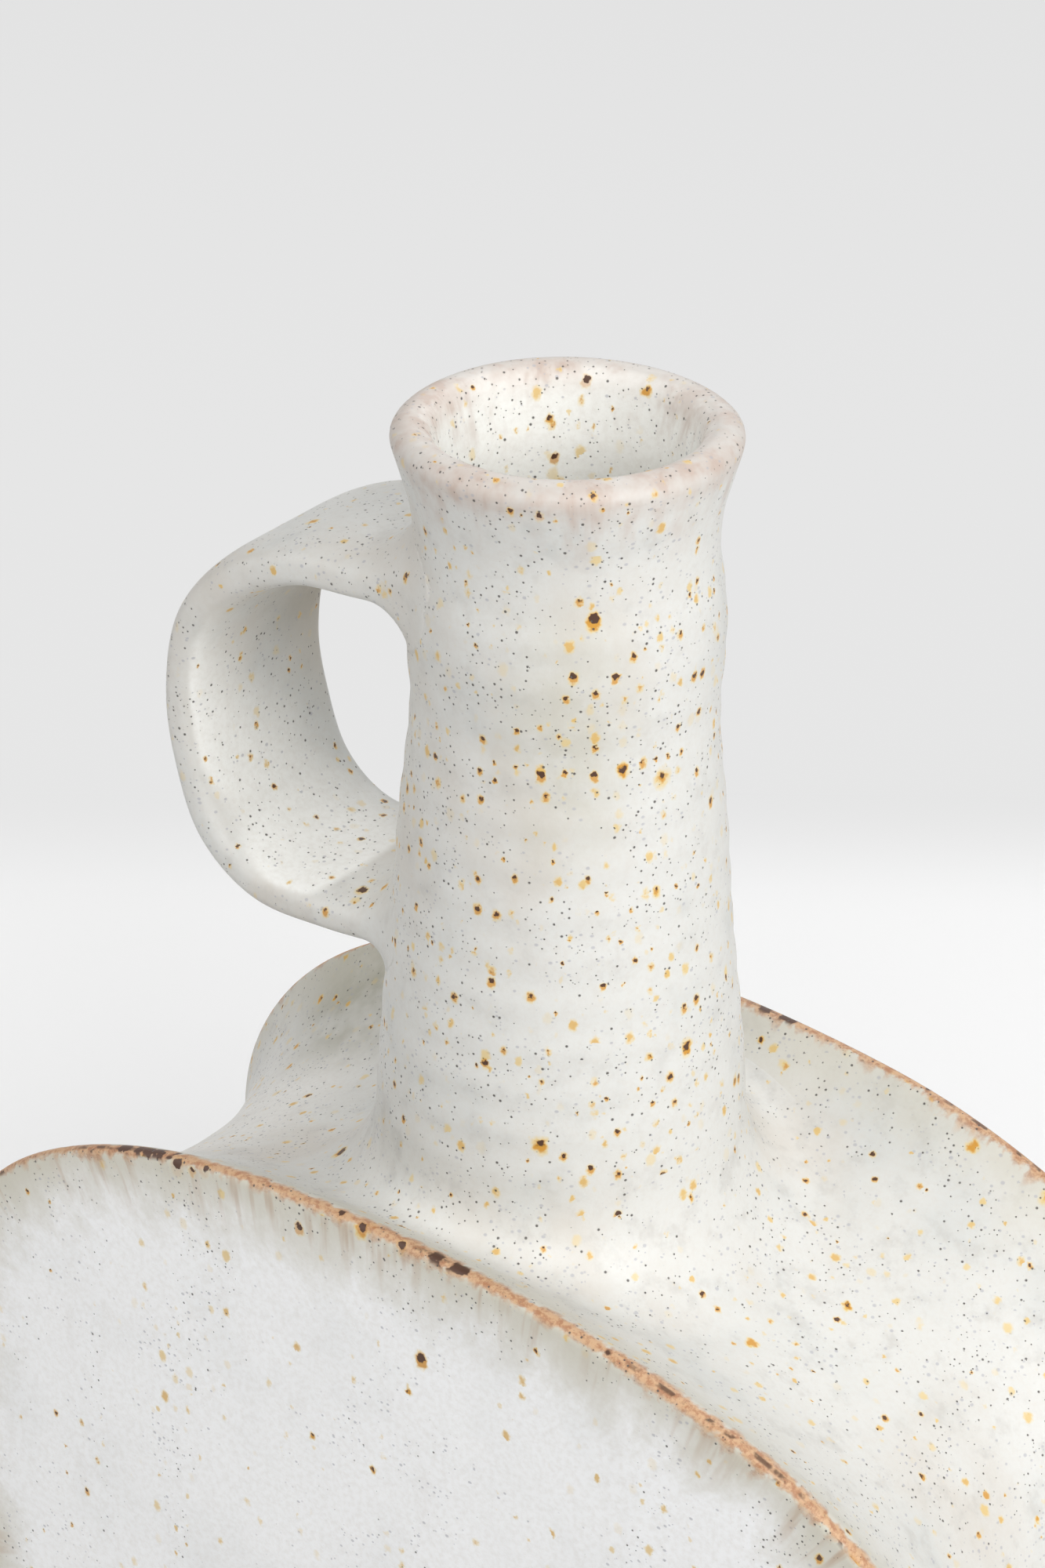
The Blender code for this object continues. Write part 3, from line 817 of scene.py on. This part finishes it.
def neck_section():
    """The neck's closed section as even points (radius, height), with every corner rounded off.

    Each station is an outer radius and its distance below the rim. The section runs down the
    outside, across the foot, up the inside and over the lip, whose two halves are quarter
    ellipses. The wall grows thicker from the throat up to the lip.
    """
    outside = smooth_line(neck_stations, 12)
    outside[:, 1] = rim_height - outside[:, 1]
    outside = outside[outside[:, 1] > neck_base]
    lower = smooth_step((rim_height - outside[:, 1]) / lip_wall_run)
    wall = lip_wall + (neck_wall - lip_wall) * lower
    inside = np.stack([outside[:, 0] - wall, outside[:, 1]], axis=1)[::-1]
    inside = inside[inside[:, 1] < rim_height - lip_inner_drop]
    over = np.linspace(0.0, np.pi / 2.0, 12)
    outer_edge = neck_stations[0][0]
    crest = outer_edge - lip_crest_in
    inner_edge = inside[-1, 0] + 0.0001
    rise = np.stack([
        crest - (crest - inner_edge) * np.cos(over),
        rim_height - lip_inner_drop * (1.0 - np.sin(over)),
    ], axis=1)
    fall = np.stack([
        crest + (outer_edge - crest) * np.sin(over[1:-1]),
        rim_height - neck_stations[0][1] * (1.0 - np.cos(over[1:-1])),
    ], axis=1)
    loop = np.vstack([outside, inside, rise, fall, outside[:1]])
    points, length = even_points(loop, neck_rows)
    points = round_off(points, length / neck_rows, lip_smoothing)
    points[:, 1] += rim_height - points[:, 1].max()
    return points


neck_points = neck_section()
lowest_row = int(np.argmin(neck_points[:, 1]))
neck_outside = neck_points[:lowest_row][::-1]


def neck_unevenness(angle, height):
    """Throwing rings, h sin(2 pi (drop + w sin a) / step), which fade out at the lip and the foot,
    and a slight oval with a third lobe, o cos(2a + turn) + l cos(3a), which fades out at the lip."""
    drop = rim_height - height
    settled = smooth_step((drop - throwing_start) / throwing_start_run)
    settled = settled * smooth_step((throwing_end - drop) / throwing_end_run)
    wavered = drop + throwing_waver * np.sin(angle)
    rings = throwing_height * np.sin(2.0 * np.pi * wavered / throwing_step)
    oval = oval_height * np.cos(2.0 * angle + oval_turn) + lobe_height * np.cos(3.0 * angle)
    return rings * settled + oval * smooth_step(drop / oval_run)


def neck_radius(angle, height):
    """The neck's outer radius at a height: its section's, plus its unevenness."""
    return np.interp(height, neck_outside[:, 1], neck_outside[:, 0]) + neck_unevenness(angle, height)


def rim_lift(angle, height):
    """How far the mouth stands out of level: r + t cos(a - b) at the lip, and less below it."""
    lean = rim_rise + rim_tilt * np.cos(angle - rim_tilt_bearing)
    return lean * (1.0 - smooth_step((rim_height - height - rim_tilt_start) / rim_tilt_run))


def round_neck(radius, angle, height):
    """Points about the neck's axis: x = m + r cos a, y = r sin a."""
    x = neck_middle + radius * np.cos(angle)
    return np.stack([x, radius * np.sin(angle), height + 0.0 * x], axis=-1)


def neck_skin(name):
    """The neck's closed section, turned about its axis, with the unevenness added to its radius."""
    angle = 2.0 * np.pi * np.arange(neck_around) / neck_around
    levels = neck_points[:, 1:]
    radii = neck_points[:, :1] + neck_unevenness(angle, levels)
    return skin_object(name, round_neck(radii, angle, levels + rim_lift(angle, levels)), looped=True)


mouth_painted_light = (0.86, 0.86, 0.825, 1.0)
mouth_radius = 0.0253
thin_place = (0.0135, -0.0215, 0.1405)
thin_tan = (0.550, 0.530, 0.450, 1.0)
blush_and_shade_pink = (0.54, 0.435, 0.375, 1.0)


def rim_blush_and_light(place, colour):
    """Paint light inside the mouth as a whiter glaze. Tint the lip pink where the glaze is thin, and
    darker there as painted shade.

    Streaks run down from the lip. The glaze is also a little thin in one place on the front.
    """
    x, y, height = split(place)
    thin = near_place(stretch(place, 0.5), thin_place, 0.0175, 0.0030, 0.75)
    uneven = fade(noise(place, 0.0060, 4.0, 0.65), 0.32, 0.65, 0.35, 1.0)
    from_axis = span(calc("SUBTRACT", x, neck_middle), y)
    inside = fade(from_axis, mouth_radius, mouth_radius - 0.0012)
    streaks = fade(noise(stretch(place, 0.16), 0.0022, 3.0, 0.6), 0.42, 0.68)
    patches = fade(noise(place, 0.0070, 4.0, 0.65), 0.38, 0.62, 0.10, 1.0)
    on_lip = fade(height, rim_height - 0.0065, rim_height - 0.0005)
    below = fade(height, rim_height - 0.018, rim_height - 0.003, 0.0, 0.62)
    amount = calc("ADD", times(on_lip, 0.56), times(below, streaks))
    return lay_on(colour, [
        (times(thin, uneven), thin_tan),
        # The mouth's whiter inside is painted light.
        (inside, mouth_painted_light),
        # The lip's pink is thin glaze, made darker on the lip itself as painted shade.
        (times(amount, patches), blush_and_shade_pink),
        (times(on_lip, 0.24), blush_and_shade_pink),
    ])


neck_spots = [
    ((0.0159, -0.0181, 0.3032), 0.0010, 1.0),
    ((0.0190, -0.0160, 0.2925), 0.0006, 0.9),
    ((0.0094, -0.0236, 0.2740), 0.0007, 0.9),
    ((0.0166, -0.0183, 0.2739), 0.0006, 0.9),
    ((0.0106, -0.0261, 0.3236), 0.0006, 0.5),
    ((-0.0185, 0.0153, 0.3173), 0.0005, 0.9),
    ((-0.0173, 0.0151, 0.3104), 0.0006, 0.8),
    ((-0.0143, 0.0201, 0.3239), 0.0007, 0.5),
]
neck_glaze = glaze_material("neck_glaze", neck_speckle, tint=rim_blush_and_light, placed=neck_spots)
neck_piece = neck_skin("neck_skin")
neck_piece.data.materials.append(neck_glaze)
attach(neck_piece, "root")
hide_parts("neck")

# The neck's foot. A coil of soft clay is worked into the joint between the neck and the band and
# smoothed with a finger, so the neck flows into the channel in one wide curve.
foot_around = 320
foot_reach_side = 0.020
foot_reach_face = 0.0072
foot_rise_side = 0.021
foot_rise_face = 0.012
foot_fullness = 0.60
foot_rows = 40
foot_above = ((-0.0012, 0.0030), (-0.00012, 0.0012))
foot_beyond = 0.0010
foot_sink = 0.00012
foot_under = 0.0020
foot_inside = ((0.001, -0.0025), (0.003, 0.002))


def channel_surface(x, y):
    """The channel's height over a point near the top, by repeated correction of its edge point.

    A point of the edge at xe, moved in along the edge's normal by the inset, has to land at x.
    """
    at_edge = np.array(x, dtype=float)
    for _ in range(8):
        share = np.clip(np.abs(at_edge / half_width), 0.0, 0.999)
        up = (1.0 - share ** outline_power) ** (1.0 / outline_power)
        out_x = np.sign(at_edge) * share ** (outline_power - 1.0) / half_width
        out_z = up ** (outline_power - 1.0) / top_rise
        size = np.sqrt(out_x ** 2 + out_z ** 2)
        inset = channel_depth * hollow_share(face_distance(x) - np.abs(y), face_distance(at_edge))
        at_edge = x + out_x / size * inset
    return body_centre + top_rise * up - out_z / size * inset


def neck_foot(name):
    """A ring of Bezier curves from the neck, tangent to it, out to the channel, tangent there.

    The rows before and after the curves dip under the neck's skin and the band's, and close inside.
    """
    angle = 2.0 * np.pi * np.arange(foot_around) / foot_around
    side_share = np.cos(angle) ** 2
    corner_radius = neck_radius(angle, np.full(foot_around, channel_floor))
    corner_x = neck_middle + corner_radius * np.cos(angle)
    corner_height = channel_surface(corner_x, corner_radius * np.sin(angle))
    corner_radius = neck_radius(angle, corner_height)
    reach = foot_reach_face + (foot_reach_side - foot_reach_face) * side_share
    rise = foot_rise_face + (foot_rise_side - foot_rise_face) * side_share

    def on_channel(radius):
        x = neck_middle + radius * np.cos(angle)
        return channel_surface(x, radius * np.sin(angle))

    top = corner_height + rise
    start = np.stack([neck_radius(angle, top), top])
    end = np.stack([corner_radius + reach, on_channel(corner_radius + reach)])
    step = 0.0003
    slope = (on_channel(end[0] + step) - on_channel(end[0] - step)) / (2.0 * step)
    down = np.stack([corner_radius - start[0], corner_height - top])
    inwards = -np.stack([reach, reach * slope])
    handles = (start + foot_fullness * down, end + foot_fullness * inwards)
    rows = [start + np.reshape(offset, (2, 1)) for offset in foot_above]
    rows += [bezier(t, (start, *handles, end)) for t in np.linspace(0.0, 1.0, foot_rows)]
    beyond = end[0] + foot_beyond
    rows.append(np.stack([beyond, on_channel(beyond) - foot_sink]))
    rows.append(np.stack([end[0], end[1] - foot_under]))
    rows += [np.stack([corner_radius - inner, corner_height + up]) for inner, up in foot_inside]
    profile = np.array(rows)
    return skin_object(name, round_neck(profile[:, 0], angle, profile[:, 1]), looped=True)


foot_glaze = glaze_material("neck_foot_glaze", neck_speckle)
foot_piece = neck_foot("neck_foot_skin")
foot_piece.data.materials.append(foot_glaze)
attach(foot_piece, "root")
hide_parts("neck_foot_coil")

# The handle. A strap is pulled from a lump of clay, bent into a loop while soft, and pressed onto
# the neck at both ends, where the joint is smoothed into a small curve all round.
handle_width = 0.039
handle_thickness = 0.0092
handle_reach = 0.0734
handle_top_drop = 0.0318
handle_bottom_drop = 0.1023
handle_start = 0.0210
handle_curve = [
    (0.43, 0.01), (0.63, 0.035), (0.82, 0.135), (0.957, 0.30), (1.00, 0.51),
    (0.98, 0.70), (0.91, 0.89), (0.76, 1.00), (0.55, 1.00),
]
handle_end_share = 0.965
section_power_across = 4.2
section_power_through = 3.0
section_count = 72
handle_inner_reach = 0.004
upper_root = {"over": 0.0070, "under": 0.0095, "side": 0.0052}
lower_root = {"over": 0.0045, "under": 0.0070, "side": 0.0052}
root_rows = 15
root_dip = 0.0003
root_sink = 0.0018
root_span = 0.045
root_steps = 500
strap_rows = 150
cap_shares = (0.75, 0.5, 0.25, 0.02)


def handle_line():
    """The strap's centre line in the XZ plane, with straight ends that run on into the neck.

    Each pair of its curve is a share of the reach out from the neck, and a share of the drop.
    """
    top = rim_height - handle_top_drop
    drop = handle_bottom_drop - handle_top_drop
    stations = [(neck_middle - handle_start, top)]
    stations += [(neck_middle - r * handle_reach, top - d * drop) for r, d in handle_curve]
    stations += [(neck_middle - handle_start, top - handle_end_share * drop)]
    line = smooth_line(stations, 40)
    inner_x = neck_middle - handle_inner_reach
    line = np.vstack([[inner_x, line[0, 1]], line, [inner_x, line[-1, 1]]])
    return line, distance_along(line)


handle_path, handle_travel = handle_line()
handle_slope = unit(np.gradient(handle_path, handle_travel, axis=0))
handle_length = handle_travel[-1]


def strap_section():
    """Points round the strap's section, |u|^p + |v|^q = 1, and their outward directions."""
    turn = 2.0 * np.pi * (np.arange(section_count) + 0.5) / section_count
    across = signed_power(np.cos(turn), 2.0 / section_power_across)
    through = signed_power(np.sin(turn), 2.0 / section_power_through)
    out_across = signed_power(across, section_power_across - 1.0) / handle_width
    out_through = signed_power(through, section_power_through - 1.0) / handle_thickness
    size = np.hypot(out_across, out_through)
    points = (across * handle_width / 2.0, through * handle_thickness / 2.0)
    return *points, out_across / size, out_through / size


strap_u, strap_v, strap_out_u, strap_out_v = strap_section()


def strap_points(distance, swell):
    """Points of the section carried to a distance along the line, swollen by an amount."""
    centre_x, centre_z, along_x, along_z = (
        np.interp(distance, handle_travel, values[:, i])
        for values in (handle_path, handle_slope)
        for i in (0, 1)
    )
    through = strap_v + swell * strap_out_v
    x = centre_x - along_z * through
    y = strap_u + swell * strap_out_u + 0.0 * distance
    return np.stack([x, y, centre_z + along_x * through], axis=-1)


def distance_from_neck(points):
    """How far points stand out from the neck's surface, straight away from its axis."""
    bearing = np.arctan2(points[..., 1], points[..., 0] - neck_middle)
    from_axis = np.hypot(points[..., 0] - neck_middle, points[..., 1])
    return from_axis - neck_radius(bearing, points[..., 2])


def root_rings(radii, from_start):
    """Rings of a root's fillet, a quarter circle of radius R round each line of the strap.

    At each of its steps the strap is swollen by R (1 - cos t), and each line is followed inwards
    to the place where it is R (1 - sin t) from the neck. The last ring lies under its surface.
    """
    upwards = strap_out_v if from_start else -strap_out_v
    over = np.clip(upwards, 0.0, 1.0) ** 2
    under = np.clip(-upwards, 0.0, 1.0) ** 2
    radius = over * radii["over"] + under * radii["under"] + strap_out_u ** 2 * radii["side"]
    walk = np.linspace(root_span, 0.0, root_steps)[:, None]
    distance = walk if from_start else handle_length - walk
    rings = []
    ends = []
    for t in np.linspace(0.0, np.pi / 2.0, root_rows):
        swell = radius * (1.0 - np.cos(t))
        gap = distance_from_neck(strap_points(distance + np.zeros_like(radius), swell))
        wanted = radius * (1.0 - np.sin(t))
        reached = np.argmax(gap <= wanted, axis=0)[None]
        before = np.take_along_axis(gap, np.maximum(reached - 1, 0), axis=0)[0]
        after = np.take_along_axis(gap, reached, axis=0)[0]
        share = np.clip((before - wanted) / np.maximum(before - after, 1e-9), 0.0, 1.0)
        step = walk[0, 0] - walk[1, 0]
        place = walk[0, 0] - (reached[0] - 1 + share) * step
        ends.append(place)
        rings.append(strap_points(place if from_start else handle_length - place, swell))
    return np.array(rings), ends[0]


def put_in_neck(ring, depth):
    """Move a ring to a depth under the neck's surface, straight towards the neck's axis."""
    bearing = np.arctan2(ring[:, 1], ring[:, 0] - neck_middle)
    return round_neck(neck_radius(bearing, ring[:, 2]) - depth, bearing, ring[:, 2])


def root_cap(ring):
    """Rings that close a root inside the neck's wall, drawn in to the ring's middle."""
    middle = ring.mean(axis=0)
    cap = [put_in_neck(ring, root_dip), put_in_neck(ring, root_sink)]
    for share in cap_shares:
        smaller = middle + share * (cap[1] - middle)
        smaller[:, 0] = cap[1][:, 0].min() + 0.0 * smaller[:, 0]
        smaller[:, 1] = share * cap[1][:, 1]
        cap.append(put_in_neck(smaller, root_sink))
    return np.array(cap)


def handle_skin(name):
    """The strap's skin: rings along its line, a fillet at each root, and caps in the neck's wall."""
    upper, upper_start = root_rings(upper_root, True)
    lower, lower_start = root_rings(lower_root, False)
    share = np.linspace(0.0, 1.0, strap_rows)[1:-1, None]
    distance = upper_start + share * (handle_length - lower_start - upper_start)
    strap = strap_points(distance, 0.0)
    rings = [root_cap(upper[-1])[::-1], upper[::-1], strap, lower, root_cap(lower[-1])]
    rings = np.concatenate(rings)
    return skin_object(name, rings, poles=[rings[0].mean(axis=0), rings[-1].mean(axis=0)])


handle_speckle = {"large": 0.20, "small": 0.40, "fleck": 0.30, "hole": 0.70, "smudge": 0.70}
loop_half_width = 0.0194
loop_half_height = 0.0307
loop_middle_out = 0.0494
loop_middle_drop = 0.067
painted_light_white = (0.93, 0.93, 0.90, 1.0)
glaze_and_shade_grey = (0.41, 0.36, 0.275, 1.0)


def loop_light_and_shade(place, colour):
    """Paint light on the loop's inner face low in front, and paint shade on it behind and higher up,
    where its glaze is also browner.

    The inner face lies inside an ellipse in the XZ plane that is a little larger than the loop.
    """
    x, y, height = split(place)
    out = calc("SUBTRACT", x, neck_middle - loop_middle_out)
    up = calc("SUBTRACT", height, rim_height - loop_middle_drop)
    ellipse = span(calc("DIVIDE", out, loop_half_width), calc("DIVIDE", up, loop_half_height))
    between_edges = fade(calc("ABSOLUTE", y), 0.0192, 0.0178)
    inner = times(fade(ellipse, 1.125, 1.075), between_edges)
    rise = calc("ADD", times(y, 0.8), times(up, 0.6))
    # Painted light low on the inner face in front, and painted shade behind and higher up, over a browner
    # glaze.
    painted_light = times(inner, fade(rise, 0.002, -0.016, 0.0, 0.95))
    thin = times(inner, fade(rise, -0.002, 0.018, 0.0, 0.80))
    return lay_on(colour, [(painted_light, painted_light_white), (thin, glaze_and_shade_grey)])


handle_glaze = glaze_material("handle_glaze", handle_speckle, tint=loop_light_and_shade)
handle_piece = handle_skin("handle_skin")
handle_piece.data.materials.append(handle_glaze)
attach(handle_piece, "root")
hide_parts("handle", "upper_handle_coil", "lower_handle_coil")

# The stage is a pale table top with painted shade in front, a darker grey there so that it clips to white
# from no side.
# Behind the vase, and a long way off on every side, it turns to a plain grey, like a wall out of
# focus.
camera_turn = math.radians(37.29)
camera_tilt = math.radians(29.81)
floor_size = 12.0
wall_distance = 0.41
wall_softness = 0.035
wall_far = 2.4
table_edge = 0.7
table_fade = 1.3
front_start = 0.36
front_full = -0.26
floor_white = (0.97, 0.97, 0.97, 1.0)
floor_front_shade = (0.76, 0.76, 0.76, 1.0)
floor_bounce = (0.62, 0.62, 0.62, 1.0)
near_wall_grey = (0.795, 0.795, 0.795, 1.0)
far_wall_grey = (0.705, 0.705, 0.705, 1.0)


def seen_rays(tree):
    """1 for rays that show a thing as it is: the camera's, and those by reflection or through glass."""
    path = tree.nodes.new("ShaderNodeLightPath").outputs
    straight = calc("MAXIMUM", path["Is Camera Ray"], path["Is Glossy Ray"])
    return calc("MAXIMUM", straight, path["Is Transmission Ray"])


def stage_floor():
    """A floor that keeps the vase's shadow. Beyond the line it is the wall's plain grey instead."""
    bpy.ops.mesh.primitive_plane_add(size=floor_size, location=(0.0, 0.0, 0.0))
    floor = bpy.context.active_object
    floor.name = "table_top"
    material, shader, place = new_material("table_top")
    behind = (-math.sin(camera_turn), math.cos(camera_turn), 0.0)
    away = add_node("VectorMath", {0: place, 1: behind}, operation="DOT_PRODUCT").outputs["Value"]
    at_wall = fade(away, wall_distance - wall_softness, wall_distance + wall_softness)
    far_off = fade(length_of(place), table_edge, table_fade)
    shown = seen_rays(place.id_data)
    seen = times(calc("MAXIMUM", at_wall, far_off), shown)
    # Painted shade: the table is a darker grey in front.
    front_shade = fade(away, front_start, front_full)
    floor_colour = blend(front_shade, floor_white, floor_front_shade)
    floor_colour = blend(seen, blend(shown, floor_bounce, floor_colour), (0.0, 0.0, 0.0, 1.0))
    link(floor_colour, shader["Base Color"])
    grey = blend(fade(away, wall_distance, wall_far), near_wall_grey, far_wall_grey)
    link(grey, shader["Emission Color"])
    link(seen, shader["Emission Strength"])
    shader["Roughness"].default_value = 1.0
    shader["Specular IOR Level"].default_value = 0.0
    floor.data.materials.append(material)


stage_floor()

# The light comes from large windows on the left, on the right and behind, and from a weaker one by
# the camera. The room round them is pale to look at and gives hardly any light of its own.


def add_window(name, size, azimuth, elevation, distance, power):
    """A square light that looks at the vase's middle, at an azimuth from the front face."""
    lamp = bpy.data.lights.new(name, "AREA")
    lamp.shape = "SQUARE"
    lamp.size = size
    lamp.energy = power
    a, e = math.radians(azimuth), math.radians(elevation)
    towards = Vector((math.sin(a) * math.cos(e), -math.cos(a) * math.cos(e), math.sin(e)))
    holder = add_object(name, lamp)
    holder.location = Vector((0.0, 0.0, rim_height / 2.0)) + distance * towards
    holder.rotation_euler = towards.to_track_quat("Z", "Y").to_euler()


add_window("left_window", 2.0, 310.0, 35.0, 2.0, 18.9)
add_window("right_window", 2.0, 80.0, 35.0, 2.0, 42.5)
add_window("front_window", 1.4, 34.0, 38.0, 2.2, 15.0)
add_window("back_window", 2.0, 200.0, 45.0, 2.0, 17.2)
room_light = 0.01
room_seen = 0.75
world = bpy.data.worlds.new("pale_room")
world.use_nodes = True
background = world.node_tree.nodes["Background"].inputs
background["Color"].default_value = (1.0, 1.0, 1.0, 1.0)
link(between(seen_rays(world.node_tree), room_light, room_seen), background["Strength"])
bpy.context.scene.world = world

# The camera stands to the right of the front face and looks down at the neck, with a long lens and
# a slight roll. It aims about 70 mm below the middle of the mouth, and a little to its left.
camera_roll = math.radians(-0.19)
camera_lens = 100.0
sensor = 36.0
view_unit = 0.030
view_distance = 25.33 * view_unit
aim_right = -0.242 * view_unit
aim_up = -2.316 * view_unit
forward = Vector((
    -math.sin(camera_turn) * math.cos(camera_tilt),
    math.cos(camera_turn) * math.cos(camera_tilt),
    -math.sin(camera_tilt),
))
level = Vector((math.cos(camera_turn), math.sin(camera_turn), 0.0))
downward = forward.cross(level)
right = math.cos(camera_roll) * level + math.sin(camera_roll) * downward
down = math.cos(camera_roll) * downward - math.sin(camera_roll) * level
target = Vector((neck_middle, 0.0, rim_height + aim_up)) + right * aim_right
eye = target - forward * view_distance
camera = add_object("camera", bpy.data.cameras.new("camera"))
camera.data.lens = camera_lens
camera.data.sensor_width = sensor
turned = Matrix((right, -down, -forward)).transposed().to_4x4()
camera.matrix_world = Matrix.Translation(eye) @ turned
bpy.context.scene.camera = camera
bpy.context.scene.view_settings.view_transform = "Standard"
